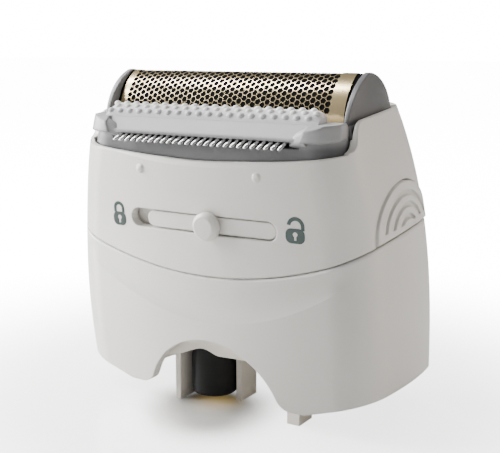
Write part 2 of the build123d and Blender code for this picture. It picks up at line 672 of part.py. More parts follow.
for number in range(round(2 * cutter_half / blade_pitch) - 1):
    x = -cutter_half + (number + 1) * blade_pitch
    trim_blade -= block((x - 0.35, x + 0.35), (-FAR, COMB_TIP_Y + TOOTH_LENGTH), (0, FAR))
lug = block(
    (-LUG_WIDTH / 2, LUG_WIDTH / 2),
    (lug_y - 0.8, lug_y + 0.8),
    (TRIM_SEAT - LUG_DEPTH, TRIM_SEAT + BLADE_SHEET),
)
lug -= block(
    (-prong_half - 2 * RUNNING_PLAY, prong_half + 2 * RUNNING_PLAY),
    (-FAR, FAR),
    (0, TRIM_SEAT - RUNNING_PLAY),
)
trim_blade += lug

# Soft strip with pips on the crest of the trimmer bar
strip_shape = make_face(
    Line((TRIM_REAR, CAP_CREST_Z), (CAP_CREST_Y, CAP_CREST_Z))
    + ThreePointArc(
        (CAP_CREST_Y, CAP_CREST_Z),
        (CAP_CREST_Y + 0.62, CAP_CREST_Z + 0.92),
        (TRIM_REAR - 0.3, STRIP_CREST_Z),
    )
    + Line((TRIM_REAR - 0.3, STRIP_CREST_Z), (TRIM_REAR, STRIP_CREST_Z - 0.4))
    + Line((TRIM_REAR, STRIP_CREST_Z - 0.4), (TRIM_REAR, CAP_CREST_Z))
)
strip = along_x(strip_shape, -STRIP_HALF, STRIP_HALF)
pip_centre = (TRIM_REAR - 0.2, CAP_CREST_Z - 0.2)
pip = Pos(0, 0, 1.2) * Cone(PIP_RADIUS, PIP_RADIUS / 2, 0.7 + PIP_HEIGHT)
for row, swing in enumerate((30, 55)):
    for number in range(PIP_COUNT):
        x = (number + 0.5 * row - PIP_COUNT / 2 + 0.25) * PIP_PITCH
        strip += Pos(x, pip_centre[0], pip_centre[1]) * Rot(swing, 0, 0) * pip
strip -= block((-FAR, FAR), (-FAR, FAR), (0, CAP_CREST_Z))

# Lock slider with its finger knob, and the plate that it carries under the trimmer bar
slider_x = (-SLOT_HALF + SLIDER_TRAVEL + SLIDER_PLAY, SLOT_HALF - SLIDER_PLAY)
slider_z = (SLOT_LOW + SLIDER_PLAY, SLOT_HIGH - SLIDER_PLAY)
slider_shape = Pos(sum(slider_x) / 2, slot_middle) * SlotOverall(
    slider_x[1] - slider_x[0], slider_z[1] - slider_z[0]
)
slider_zone = block((-FAR, FAR), (-FAR, SLIDER_FLANGE_Y + SLIDER_FLANGE), (-FAR, FAR))
slider = wide(slider_shape) & slider_zone & skin(SLIDER_RECESS)
slider += block(
    (slider_x[0] - 1, slider_x[1] + 1),
    (SLIDER_FLANGE_Y, SLIDER_FLANGE_Y + SLIDER_FLANGE),
    (SLOT_LOW - 0.8, SLOT_HIGH + 0.8),
)
knob_z = slot_middle
knob_face = -SKIN[3][2] - SLIDER_PLAY
knob = Pos(KNOB_X, knob_face, knob_z) * Rot(90, 0, 0) * Cylinder(KNOB_RADIUS, 2 * KNOB_RISE)
knob &= Pos(KNOB_X, knob_face + KNOB_RADIUS - KNOB_RISE, knob_z) * Sphere(1.25 * KNOB_RADIUS)
knob &= block((-FAR, FAR), (-FAR, knob_face), (-FAR, FAR))
knob += block(
    (KNOB_X - 1, KNOB_X + 1),
    (knob_face - KNOB_RISE / 2, SLIDER_FLANGE_Y),
    (slider_z[0], slider_z[1]),
)
slider += knob
plate_y = SLIDER_FLANGE_Y + SLIDER_FLANGE
plate = block(
    (PLATE_X - PLATE_WIDTH / 2, PLATE_X + PLATE_WIDTH / 2),
    (plate_y, plate_y + 0.8),
    (SLOT_LOW, PLATE_TOP),
)

# Release buttons with arched grip grooves and guide stems
button = (skin(-BUTTON_PROUD) - inner) & window(-BUTTON_PLAY) & above_seam(SEAM_GAP)
for share in (0.8, 0.58, 0.36):
    ring = Pos(BUTTON_Y, BUTTON_Z) * Ellipse(share * BUTTON_HALF, share * BUTTON_RISE)
    ring -= Pos(BUTTON_Y, BUTTON_Z) * Ellipse(share * BUTTON_HALF - 0.7, share * BUTTON_RISE - 0.7)
    ring -= Pos(BUTTON_Y, BUTTON_Z - BUTTON_RISE + 1.4) * Rectangle(3 * BUTTON_HALF, 2 * BUTTON_RISE)
    button -= along_x(ring, 0, FAR / 2) - skin(RIB_GROOVE - BUTTON_PROUD)
guide = block((STEM_X, FAR / 2), (BUTTON_Y - STEM_HALF_Y, BUTTON_Y + STEM_HALF_Y), (STEM_LOW, STEM_HIGH))
button += guide & skin(WALL / 2)
button_left = mirror(button, Plane.YZ)

# Springs under the foil frame, the trimmer bar and the cutter
foil_spring = spring(
    FOIL_SPRING_X, FOIL_Y, FOIL_SHELF_Z, FRAME_BOTTOM - 0.8, FOIL_SPRING_RADIUS, 4
)
trim_spring = spring(
    TRIM_SPRING_X, TRIM_SPRING_Y, TRIM_SHELF_Z, TRIM_BOTTOM, TRIM_SPRING_RADIUS, 3
)
cutter_spring = spring(0, FOIL_Y, SHOULDER_TOP, CARRIER_BOTTOM, CUTTER_SPRING_RADIUS, 3)

pieces = {
    "base_skirt": skirt,
    "upper_housing": housing,
    "chassis": chassis,
    "chassis_screws": Compound(children=screws),
    "guide_rods": Compound(children=[leaned(shape) for shape in rods]),
    "shaft_bearing": bearing,
    "drive_coupling": coupling,
    "coupling_bush": bush,
    "crank_shaft": shaft,
    "drive_bridge": bridge,
    "cutter_carrier": leaned(carrier),
    "cutter_blades": leaned(blades),
    "cutter_spring": leaned(cutter_spring),
    "foil": leaned(foil),
    "foil_frame": leaned(frame),
    "foil_spring_right": leaned(foil_spring),
    "foil_spring_left": leaned(mirror(foil_spring, Plane.YZ)),
    "trimmer_bar": leaned(trim),
    "trimmer_comb": leaned(comb),
    "trimmer_blade": leaned(trim_blade),
    "soft_strip": leaned(strip),
    "trimmer_spring_right": leaned(trim_spring),
    "trimmer_spring_left": leaned(mirror(trim_spring, Plane.YZ)),
    "lock_slider": leaned(slider),
    "lock_plate": leaned(plate),
    "release_button_right": leaned(button),
    "release_button_left": leaned(button_left),
}

os.makedirs("parts", exist_ok=True)
for name, piece in pieces.items():
    piece.label = name
    export_step(piece, f"parts/{name}.step")
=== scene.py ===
import json
import math

import bmesh
import bpy
import numpy as np
from mathutils import Matrix, Vector
from mathutils.bvhtree import BVHTree


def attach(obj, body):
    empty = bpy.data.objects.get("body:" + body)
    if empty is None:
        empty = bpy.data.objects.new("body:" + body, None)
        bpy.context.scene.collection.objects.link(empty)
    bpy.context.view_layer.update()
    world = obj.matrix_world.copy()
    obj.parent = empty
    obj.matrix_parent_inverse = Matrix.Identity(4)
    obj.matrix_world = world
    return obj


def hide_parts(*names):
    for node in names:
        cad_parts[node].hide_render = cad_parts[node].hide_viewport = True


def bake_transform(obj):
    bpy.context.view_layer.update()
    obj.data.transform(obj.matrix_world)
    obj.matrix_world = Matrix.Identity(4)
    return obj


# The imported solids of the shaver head. The head leans forward on the handle's axis, and the foil's
# float runs square to that lean, so the lean is read from that joint.
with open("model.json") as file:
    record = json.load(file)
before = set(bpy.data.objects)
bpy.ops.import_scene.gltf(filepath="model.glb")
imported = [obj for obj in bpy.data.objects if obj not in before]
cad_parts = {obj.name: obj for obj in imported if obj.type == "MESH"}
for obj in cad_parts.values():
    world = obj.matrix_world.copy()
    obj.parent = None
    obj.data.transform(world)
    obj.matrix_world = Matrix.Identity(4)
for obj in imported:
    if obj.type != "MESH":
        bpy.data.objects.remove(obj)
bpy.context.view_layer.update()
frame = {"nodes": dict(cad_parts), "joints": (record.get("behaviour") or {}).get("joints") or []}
nodes = frame["nodes"]
float_axis = [joint for joint in frame["joints"] if joint["name"] == "foil_float"][0]["axis"]
lean = math.atan2(-float_axis[1], float_axis[2])
set_back = 2.16


def place(points):
    """Points of the upright head in millimetres, leaned and brought into the frame in metres."""
    x, y, z = np.asarray(points, float).reshape(-1, 3).T
    y = y + set_back
    leaned = (x, y * math.cos(lean) - z * math.sin(lean), y * math.sin(lean) + z * math.cos(lean))
    return np.stack(leaned, axis=1) / 1000


# Camera at the photograph's height and angle, about 15 cm from the part. The three directions are
# the picture's right, its up and the way back to the camera.
azimuth = math.radians(32.0)
elevation = math.radians(10.5)
camera_aim = (0, -0.00057, 0.02588)
camera_distance = 0.14677
camera_lens = 70.56


def shown(name, data):
    """Object of the scene with its mesh, lamp or camera."""
    thing = bpy.data.objects.new(name, data)
    bpy.context.scene.collection.objects.link(thing)
    return thing


level_part = math.cos(elevation)
right = Vector((math.cos(azimuth), math.sin(azimuth), 0))
back = Vector((math.sin(azimuth) * level_part, -math.cos(azimuth) * level_part, math.sin(elevation)))
up = back.cross(right)
camera = shown("camera", bpy.data.cameras.new("camera"))
camera.data.lens = camera_lens
camera.data.clip_start = 0.01
camera.matrix_world = Matrix((right, up, back)).transposed().to_4x4()
camera.matrix_world.translation = Vector(camera_aim) + camera_distance * back
bpy.context.scene.camera = camera

# White acrylic table top under a light tent: a broad lamp high on the left, a long one behind, and
# an even white surround. Painted shade darkens the table under the arch and round the coupling, a
# painted warm glow lies below the coupling, and a glow seen only by the camera whitens the table away
# from the part.
tent_colour = (1.0, 0.995, 0.985)
tent_light = 0.36
tent_seen = 16.0
table_half = 3
table_rough = 0.14
table_white = (0.66, 0.66, 0.65)
table_shade = (0.46, 0.45, 0.425)
table_glow = 7.0
coupling_shade = {"centre": (-0.0022, -0.0085), "inner": 0.004, "outer": 0.0125}
arch_shade = {"centre": (0.0012, -0.0135), "inner": 0.001, "outer": 0.0115}
tent_reach = {"centre": (0.0, 0.0), "inner": 0.03, "outer": 0.10}
near_glow = 0.4
glow_gain = 1.7
# Painted warm glow below the coupling, added to the table's glow that the camera sees.
warm_glow_area = {"centre": (-0.0015, -0.0075), "inner": 0.0, "outer": 0.0055}
warm_glow_rgb = (0.046, 0.032, 0.011)


class Field:
    """Output of a node. Sums and products of fields, or of fields and numbers, add Math nodes."""

    def __init__(self, tree, socket):
        self.tree = tree
        self.socket = socket

    @classmethod
    def of(cls, tree, kind, output=0, inputs=None, **settings):
        """Output of a new node that gets its settings first, then the values or links of its sockets."""
        node = tree.nodes.new(kind)
        for name, setting in settings.items():
            setattr(node, name, setting)
        for key, given in (inputs or {}).items():
            for source in given if isinstance(given, list) else [given]:
                if isinstance(source, cls):
                    tree.links.new(source.socket, node.inputs[key])
                else:
                    node.inputs[key].default_value = source
        return cls(tree, node.outputs[output])

    def __getitem__(self, output):
        """Another output of the same node."""
        return Field(self.tree, self.socket.node.outputs[output])

    def maths(self, operation, other=0.0, swapped=False):
        """Math node on this field and another field or number, or on the two swapped."""
        pair = (other, self) if swapped else (self, other)
        return Field.of(self.tree, "ShaderNodeMath", inputs=dict(enumerate(pair)), operation=operation)

    def __add__(self, other):
        return self.maths("ADD", other)

    def __sub__(self, other):
        return self.maths("SUBTRACT", other)

    def __rsub__(self, other):
        return self.maths("SUBTRACT", other, swapped=True)

    def __mul__(self, other):
        return self.maths("MULTIPLY", other)

    def __truediv__(self, other):
        return self.maths("DIVIDE", other)

    def __rtruediv__(self, other):
        return self.maths("DIVIDE", other, swapped=True)

    __radd__ = __add__
    __rmul__ = __mul__

    def clamped(self, low, high):
        return self.maths("MAXIMUM", low).maths("MINIMUM", high)

    def eased(self, low, high):
        """0 at the low value and 1 at the high one, with a soft start and end."""
        ramp = {"Value": self, "From Min": low, "From Max": high}
        return Field.of(self.tree, "ShaderNodeMapRange", "Result", ramp, interpolation_type="SMOOTHSTEP")

    def between(self, first, second):
        """Colour that runs from the first to the second as the field runs from 0 to 1."""
        ends = {0: self, 6: (*first, 1), 7: (*second, 1)}
        return Field.of(self.tree, "ShaderNodeMix", 2, ends, data_type="RGBA")

    def into(self, socket):
        self.tree.links.new(self.socket, socket)


def lamp(name, stand, aim, size, watts, colour=(1, 1, 1)):
    """Rectangular softbox that stands at one point and shines at another."""
    light = bpy.data.lights.new(name, "AREA")
    light.shape = "RECTANGLE"
    light.size, light.size_y = size
    light.energy = watts
    light.color = colour
    softbox = shown(name, light)
    softbox.location = stand
    softbox.rotation_euler = (Vector(aim) - Vector(stand)).to_track_quat("-Z", "Y").to_euler()
    return softbox


lamp("left_softbox", stand=(-0.40, -0.09, 0.19), aim=(0, 0, 0.025), size=(0.34, 0.34), watts=7.4)
lamp("top_softbox", stand=(-0.21, -0.07, 0.36), aim=(0, 0, 0.03), size=(0.10, 0.10), watts=0.9)
rear = lamp("rear_softbox", stand=(-0.10, 0.35, 0.34), aim=(0, 0, 0.02), size=(0.50, 0.25), watts=3.0)
rear.visible_glossy = False
lamp("right_strip", stand=(0.34, 0.22, 0.16), aim=(0.02, 0, 0.03), size=(0.12, 0.30), watts=0.55,
     colour=(1, 0.86, 0.74))

studio = bpy.data.worlds.new("studio")
studio.use_nodes = True
surround = studio.node_tree.nodes["Background"].inputs
surround["Color"].default_value = (*tent_colour, 1)
tent_ray = Field.of(studio.node_tree, "ShaderNodeLightPath", "Is Camera Ray")
(tent_ray * tent_seen + tent_light).into(surround["Strength"])
bpy.context.scene.world = studio


def surface(material):
    """Sockets of a material's main shader."""
    return material.node_tree.nodes["Principled BSDF"].inputs


def spot(tree):
    """Object coordinates of the shaded point."""
    return Field.of(tree, "ShaderNodeTexCoord", "Object")


def piece(name, points, faces, material):
    """Object made of points in its mesh's own unit, faces and one material."""
    mesh = bpy.data.meshes.new(name)
    mesh.from_pydata(np.asarray(points).tolist(), [], faces)
    mesh.materials.append(material)
    return shown(name, mesh)


acrylic = bpy.data.materials.new("acrylic")
acrylic.use_nodes = True
acrylic_tree = acrylic.node_tree
surface(acrylic)["Roughness"].default_value = table_rough
surface(acrylic)["Emission Strength"].default_value = table_glow
table_spot = spot(acrylic_tree)
table_ray = Field.of(acrylic_tree, "ShaderNodeLightPath", "Is Camera Ray")


def spread(centre, inner, outer):
    """0 within the inner radius round a point of the table, 1 beyond the outer one."""
    ends = {0: table_spot, 1: (*centre, 0)}
    distance = Field.of(acrylic_tree, "ShaderNodeVectorMath", "Value", ends, operation="DISTANCE")
    return distance.eased(inner, outer)


# Painted shadow: the table's colour darkens round the coupling and under the arch, and its glow fades
# there.
clear = spread(**coupling_shade) * spread(**arch_shade)
clear.between(table_shade, table_white).into(surface(acrylic)["Base Color"])
clear = clear * (spread(**tent_reach) * glow_gain + near_glow)
# Painted warm glow: a warm patch added to the table's glow below the coupling.
warm_glow_weight = 1 - spread(**warm_glow_area)
glow = {channel: (clear + warm_glow_weight * share) * table_ray for channel, share in enumerate(warm_glow_rgb)}
Field.of(acrylic_tree, "ShaderNodeCombineColor", inputs=glow).into(surface(acrylic)["Emission Color"])
table_corners = [(-table_half, -table_half, 0), (table_half, -table_half, 0),
                 (table_half, table_half, 0), (-table_half, table_half, 0)]
table_top = piece("table", table_corners, [(0, 1, 2, 3)], acrylic)

# Casing: skirt and upper housing, moulded in glossy white plastic, with the slider and the release
# buttons in the same plastic. The walls bow a little, and a shallow scoop lies under the seam.
white_colour = (0.775, 0.753, 0.712)
seam_highlight_colour = (0.96, 0.95, 0.93)
seam_low = 22.0
seam_radius = 59.0
scoop_low = 15.2
scoop_rise = 0.0161
scoop_depth = 0.30
scoop_half = 24.0
front_depth = 4.0
lip_depth = 0.22
lip_height = 0.55
bow = 14.5
barrel = 20.0
barrel_most = 0.1
barrel_middle = 26.0
drift_scale = 260.0
drift = 0.08
grain_scale = 5200.0
grain_depth = 0.00004


def noise(tree, scale):
    """Cloudy pattern with values round one half."""
    clouds = {"Scale": scale, "Detail": 2.0, "Vector": spot(tree)}
    return Field.of(tree, "ShaderNodeTexNoise", "Fac", clouds)


def moulded(name, colour, roughness, edge=0.0, grain=0.0, metallic=0.0, specular=0.5):
    """Even colour, roughness that drifts a little, softened edges and fine grain."""
    material = bpy.data.materials.new(name)
    material.use_nodes = True
    tree = material.node_tree
    shader = surface(material)
    shader["Base Color"].default_value = (*colour, 1)
    shader["Metallic"].default_value = metallic
    shader["Specular IOR Level"].default_value = specular
    (noise(tree, drift_scale) * drift + (roughness - drift / 2)).into(shader["Roughness"])
    relief = {}
    if edge:
        relief["Normal"] = Field.of(tree, "ShaderNodeBevel", "Normal", {"Radius": edge / 1000}, samples=6)
    if grain:
        relief.update({"Strength": grain, "Distance": grain_depth, "Height": noise(tree, grain_scale)})
        relief["Normal"] = Field.of(tree, "ShaderNodeBump", "Normal", relief)
    if relief:
        relief["Normal"].into(shader["Normal"])
    return material


def dress(material, *names):
    """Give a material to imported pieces."""
    for name in names:
        nodes[name].data.materials.clear()
        nodes[name].data.materials.append(material)


def apart(tree):
    """X, Y and Z of the shaded point."""
    return Field.of(tree, "ShaderNodeSeparateXYZ", inputs={0: spot(tree)})


def along_head(tree):
    """Height of the shaded point along the leaning head."""
    ends = {0: spot(tree), 1: tuple(float_axis)}
    return Field.of(tree, "ShaderNodeVectorMath", "Value", ends, operation="DOT_PRODUCT")


def xyz(tree, x=0.0, y=0.0, z=0.0):
    """Vector from three fields or numbers."""
    return Field.of(tree, "ShaderNodeCombineXYZ", inputs={0: x, 1: y, 2: z})


# The bow and the scoop are shaded, not cut. The scoop runs from its low edge up to the seam as
# s (1 - s)^2, which is 4 / 27 at its deepest. A lip lies just under the seam, and a pale line along it
# is a painted highlight.
white = moulded("white_plastic", white_colour, roughness=0.30, edge=0.35)
white_tree = white.node_tree
soft_edges = Field(white_tree, surface(white)["Normal"].links[0].from_socket)
across = apart(white_tree)["X"]
level = along_head(white_tree)
barrelled = ((level - barrel_middle / 1000) * -barrel).clamped(-barrel_most, barrel_most)
bowed = {0: soft_edges, 1: xyz(white_tree, x=across * bow, z=barrelled)}
bowed = Field.of(white_tree, "ShaderNodeVectorMath", inputs=bowed, operation="ADD")
bowed = Field.of(white_tree, "ShaderNodeVectorMath", inputs={0: bowed}, operation="NORMALIZE")

scoop_edge = across * across * (scoop_rise * 1000) + scoop_low / 1000
seam = across * across * (1000 / (2 * seam_radius)) + seam_low / 1000
risen = ((level - scoop_edge) / (seam - scoop_edge)).clamped(0.0, 1.0)
sideways = across / (scoop_half / 1000)
inside = (1 - sideways * sideways).clamped(0.0, 1.0)
front = (apart(white_tree)["Y"] * (-1000 / front_depth)).clamped(0.0, 1.0)
scoop = risen * (1 - risen) * (1 - risen) * inside * front * (-27 / 4 * scoop_depth / 1000)
lip = 1 - ((seam - level) / (lip_height / 1000)).clamped(0.0, 1.0)
relief = {"Distance": 1.0, "Height": scoop + lip * lip * (-lip_depth / 1000), "Normal": bowed}
Field.of(white_tree, "ShaderNodeBump", "Normal", relief).into(surface(white)["Normal"])
# Painted highlight: a pale line of colour along the lip just under the seam.
painted_seam_highlight = (seam - level).maths("GREATER_THAN", 0.0) * lip
painted_seam_highlight.between(white_colour, seam_highlight_colour).into(surface(white)["Base Color"])
dress(white, "base_skirt", "upper_housing", "release_button_right", "release_button_left")
dress(white, "lock_slider", "lock_plate")

# Tongue of the slider behind the slot, in the same white plastic, so that the slot shows a shallow
# recess at either end of the travel.
tongue_left = -12.9
tongue_right = 15.3
tongue_low = 27.6
tongue_high = 31.4
tongue_y = -10.78
tongue_corners = [(tongue_left, tongue_y, tongue_low), (tongue_right, tongue_y, tongue_low),
                  (tongue_right, tongue_y, tongue_high), (tongue_left, tongue_y, tongue_high)]
tongue = piece("slider_tongue", place(tongue_corners), [(0, 1, 2, 3)], white)
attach(tongue, "lock")

# Two small nubs moulded on the front of the housing, in one with it, above the slider. Each is a
# rounded bump, a little higher than it is wide.
nub_places = (-9.85, 9.45)
nub_y = -12.33
nub_z = 36.72
nub_half_sizes = (0.76, 0.62, 0.80)


def corners(mesh):
    """Corners of a mesh as an array."""
    return np.array([vertex.co for vertex in mesh.vertices])


def settle(mesh, points):
    """Put the corners of a mesh at points of the upright head."""
    mesh.vertices.foreach_set("co", place(points).ravel())
    mesh.update()


for number, nub_x in enumerate(nub_places):
    ball = bmesh.new()
    bmesh.ops.create_uvsphere(ball, u_segments=20, v_segments=12, radius=1.0)
    nub_mesh = bpy.data.meshes.new(f"nub_{number}")
    ball.to_mesh(nub_mesh)
    ball.free()
    settle(nub_mesh, corners(nub_mesh) * nub_half_sizes + (nub_x, nub_y, nub_z))
    nub_mesh.shade_smooth()
    nub_mesh.materials.append(white)
    nub = shown(f"nub_{number}", nub_mesh)
    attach(nub, "casing")

# Inner chassis in natural plastic: the deck, shroud and legs show through the front arch. The
# coupling is black plastic with a brass bush, on a steel shaft.
natural = moulded("natural_plastic", (0.84, 0.79, 0.71), roughness=0.42, edge=0.15)
black = moulded("black_plastic", (0.0045, 0.0045, 0.005), roughness=0.55, edge=0.2, specular=0.25)
brass = moulded("brass_parts", (0.62, 0.42, 0.18), roughness=0.30, metallic=1.0)
steel = moulded("steel_parts", (0.62, 0.61, 0.60), roughness=0.26, metallic=1.0)
# The cutter's blades and carrier, and the trimmer's moving blade, are painted near black: painted shade for
# the dark inside of the head.
steel_painted_dark = moulded("steel_painted_dark", (0.03, 0.03, 0.03), roughness=0.5)
dress(natural, "chassis", "drive_bridge")
dress(steel_painted_dark, "cutter_blades", "cutter_carrier")
dress(black, "drive_coupling")
dress(brass, "coupling_bush", "shaft_bearing")
dress(steel, "chassis_screws", "guide_rods", "crank_shaft")

# Hem of the chassis: a thin wall that hangs from the front of the deck, just behind the skirt's arch.
# Its lower edge is cut up over the coupling.
hem_front = -9.5
hem_rear = -8.95
hem_top = 9.9
hem_stations = 60
hem_ease = 5
hem_cut = ((-10.3, 5.8), (-8.4, 6.7), (-6.5, 7.45), (-4.9, 8.1), (-3.5, 8.72),
           (-2.5, 8.85), (-1.4, 8.6), (-0.2, 8.05), (2.0, 8.15), (7.8, 8.3))


def quads(lines, points, closed=False, flipped=False):
    """Faces between neighbouring lines of points. A closed line joins its last point to its first."""
    faces = []
    for i in range(lines - 1):
        for j in range(points if closed else points - 1):
            k = (j + 1) % points
            a, b, c, d = i * points + j, (i + 1) * points + j, (i + 1) * points + k, i * points + k
            faces.append((a, d, c, b) if flipped else (a, b, c, d))
    return faces


def capped(lines, points):
    """Faces of a closed bar: its sides and its two ends."""
    last = lines * points - 1
    ends = [tuple(range(points)), tuple(range(last, last - points, -1))]
    return quads(lines, points, closed=True) + ends


hem_x = np.linspace(hem_cut[0][0], hem_cut[-1][0], hem_stations)
hem_low = np.interp(hem_x, *zip(*hem_cut))
hem_trim = hem_ease // 2
hem_low[hem_trim:-hem_trim] = np.convolve(hem_low, np.ones(hem_ease) / hem_ease, mode="valid")
hem_points = []
for x, low in zip(hem_x, hem_low):
    hem_points += [(x, hem_front, low), (x, hem_front, hem_top), (x, hem_rear, hem_top), (x, hem_rear, low)]
hem = piece("chassis_hem", np.array(hem_points) / 1000, capped(hem_stations, 4), natural)
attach(hem, "casing")

# Coil springs of steel wire under the foil frame, the trimmer bar and the cutter. Each is a steel copy
# of the imported spring, which is hidden. The table names the body that each stands on and the piece
# that presses it, but the copies are not fixed to either and stay where they stand.
pressed = {
    "foil_spring_right": ("casing", "foil_cassette"),
    "foil_spring_left": ("casing", "foil_cassette"),
    "trimmer_spring_right": ("casing", "trimmer"),
    "trimmer_spring_left": ("casing", "trimmer"),
    "cutter_spring": ("bridge", "cutter"),
}
for name, (stays, moves) in pressed.items():
    coil_mesh = nodes[name].data.copy()
    coil_mesh.materials.clear()
    coil_mesh.materials.append(steel)
    coil = shown(name.replace("spring", "coil"), coil_mesh)
    wire = corners(coil_mesh)
    heart = wire.mean(axis=0)
    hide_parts(name)
    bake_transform(coil)

# Foil frame and trimmer bar, moulded in satin grey plastic with a fine grain. Their grey carries
# painted shade where the tent's light falls off: on the front right of the cheeks and at the foot of
# the bar, and is painted lighter elsewhere.
cheek_dark = (0.12, 0.12, 0.122)
cheek_light = (0.30, 0.30, 0.303)
cheek_span = 0.04
cheek_depth = 0.012
bar_dark = (0.13, 0.13, 0.135)
bar_light = (0.36, 0.36, 0.365)
bar_dark_z = 40.2
bar_light_z = 42.1

cheek_grey = moulded("cheek_grey", cheek_dark, roughness=0.34, edge=0.35, grain=0.2)
# Painted light and shade on the cheeks: lighter to the left and towards the rear, darker at the front
# right.
cheek_spot = apart(cheek_grey.node_tree)
leftward = cheek_spot["X"] / -cheek_span + 0.5
rearward = (cheek_spot["Y"] / cheek_depth).clamped(0.0, 0.5)
leftward.maths("MAXIMUM", rearward).between(cheek_dark, cheek_light).into(surface(cheek_grey)["Base Color"])
bar_grey = moulded("bar_grey", bar_dark, roughness=0.38, edge=0.55, grain=0.25)
# Painted shade on the bar: darker at its foot, lighter up towards its crest.
bar_shade = along_head(bar_grey.node_tree).eased(bar_dark_z / 1000, bar_light_z / 1000)
bar_shade.between(bar_dark, bar_light).into(surface(bar_grey)["Base Color"])
dress(cheek_grey, "foil_frame")
dress(bar_grey, "trimmer_bar")
# The trimmer's moving blade gets the steel painted near black, as painted shade.
dress(steel_painted_dark, "trimmer_blade")

# Comb of the trimmer: a punched steel strip with 27 blunt teeth that rake down to their tips. The
# tips are polished bright, and the moving blade behind them is painted dark as shade.
tooth_count = 27
tooth_pitch = 1.04
tooth_width = 0.56
tooth_tip = (-13.1, 40.86)
tooth_root = (-10.9, 41.52)
tooth_thickness = 0.32


def geometry_tree(name, inputs):
    """Geometry tree with named inputs, and the field that gives them."""
    tree = bpy.data.node_groups.new(name, "GeometryNodeTree")
    for label, kind in inputs.items():
        tree.interface.new_socket(label, in_out="INPUT", socket_type="NodeSocket" + kind)
    tree.interface.new_socket("Geometry", in_out="OUTPUT", socket_type="NodeSocketGeometry")
    return tree, Field.of(tree, "NodeGroupInput")


def finish_tree(geometry, material):
    """Last nodes of a geometry tree: real copies, smooth shading, the material and the output."""
    tree = geometry.tree
    real = Field.of(tree, "GeometryNodeRealizeInstances", inputs={"Geometry": geometry})
    smooth = Field.of(tree, "GeometryNodeSetShadeSmooth", inputs={"Geometry": real})
    coated = Field.of(tree, "GeometryNodeSetMaterial", inputs={"Geometry": smooth, "Material": material})
    coated.into(tree.nodes.new("NodeGroupOutput").inputs[0])


def plain_mesh(name, tree, values):
    """Object with the mesh that a geometry tree makes from its named inputs."""
    seed = shown(name, bpy.data.meshes.new(name))
    modifier = seed.modifiers.new("made", "NODES")
    modifier.node_group = tree
    for item in tree.interface.items_tree:
        if item.in_out == "INPUT" and item.name in values:
            modifier[item.identifier] = values[item.name]
    bpy.context.view_layer.update()
    made = bpy.data.meshes.new_from_object(seed.evaluated_get(bpy.context.evaluated_depsgraph_get()))
    seed.modifiers.clear()
    seed.data = made
    return seed


tooth_line = np.array(tooth_root) - np.array(tooth_tip)
tooth_length = float(np.hypot(*tooth_line))
rake = math.atan2(tooth_line[1], tooth_line[0])
toothing, asked = geometry_tree("comb_teeth", {
    "Count": "Int", "Pitch": "Float", "Width": "Float", "Length": "Float", "Thickness": "Float",
    "Rake": "Rotation", "Material": "Material",
})
rod = {"Vertices": 12, "Side Segments": 1, "Radius": asked["Width"] * 0.5, "Depth": asked["Length"]}
rod = Field.of(toothing, "GeometryNodeMeshCylinder", "Mesh", rod)
nose = {"Segments": 12, "Rings": 8, "Radius": asked["Width"] * 0.5}
nose = Field.of(toothing, "GeometryNodeMeshUVSphere", "Mesh", nose)
nose = {"Geometry": nose, "Translation": xyz(toothing, z=asked["Length"] * 0.5)}
nose = Field.of(toothing, "GeometryNodeTransform", inputs=nose)
tooth = Field.of(toothing, "GeometryNodeJoinGeometry", inputs={0: [rod, nose]})
tooth = {"Geometry": tooth, "Scale": xyz(toothing, 1.0, asked["Thickness"] / asked["Width"], 1.0)}
tooth = Field.of(toothing, "GeometryNodeTransform", inputs=tooth)
tooth = Field.of(toothing, "GeometryNodeTransform", inputs={"Geometry": tooth, "Rotation": asked["Rake"]})
tooth_row = {"Count": asked["Count"], "Offset": xyz(toothing, x=asked["Pitch"])}
tooth_row = Field.of(toothing, "GeometryNodeMeshLine", inputs=tooth_row)
teeth = {"Points": tooth_row, "Instance": tooth}
finish_tree(Field.of(toothing, "GeometryNodeInstanceOnPoints", inputs=teeth), asked["Material"])
comb = plain_mesh("comb_teeth", toothing, {
    "Count": tooth_count, "Pitch": tooth_pitch, "Width": tooth_width, "Length": tooth_length,
    "Thickness": tooth_thickness, "Rake": (math.pi / 2 + rake, 0, 0), "Material": steel,
})
comb_middle = (np.array(tooth_tip) + np.array(tooth_root)) / 2
settle(comb.data, corners(comb.data) + (-(tooth_count - 1) / 2 * tooth_pitch, *comb_middle))
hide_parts("trimmer_comb")
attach(comb, "trimmer")

# Inner ends of the bar's two lobes, moulded with it: each lobe falls in a rounded slope to the last
# tooth of the comb. The slope starts from the bar's own section.
lobe_x = 16.4
lobe_reach = 2.75
lobe_heart = (-10.7, 40.7)
lobe_sweep = 88
lobe_rays = 24
lobe_steps = 14
lobe_sink = 0.985
lobe_roundness = 0.38
lobe_clear = 9


def skin(mesh):
    """Surface of a mesh that rays can be cast at."""
    return BVHTree.FromPolygons([v.co for v in mesh.vertices], [tuple(f.vertices) for f in mesh.polygons])


bar_skin = skin(nodes["trimmer_bar"].data)
for side, name in ((-1, "lobe_end_left"), (1, "lobe_end_right")):
    heart = Vector(place([(side * lobe_x, *lobe_heart)])[0])
    lobe_points = []
    for angle in np.radians(np.linspace(0, lobe_sweep, lobe_rays)):
        start_y = lobe_heart[0] - lobe_clear * math.cos(angle)
        start_z = lobe_heart[1] + lobe_clear * math.sin(angle)
        outside = Vector(place([(side * lobe_x, start_y, start_z)])[0])
        hit = bar_skin.ray_cast(outside, (heart - outside).normalized())[0] or heart
        for inward in np.linspace(0, 1, lobe_steps):
            point = heart.lerp(hit, lobe_sink * (1 - inward) ** lobe_roundness)
            point.x = side * (lobe_x - lobe_reach * inward) / 1000
            lobe_points.append(point)
    faces = quads(lobe_rays, lobe_steps, flipped=True)
    lobe_end = piece(name, lobe_points, faces if side < 0 else [face[::-1] for face in faces], bar_grey)
    lobe_end.data.shade_smooth()
    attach(lobe_end, "trimmer")

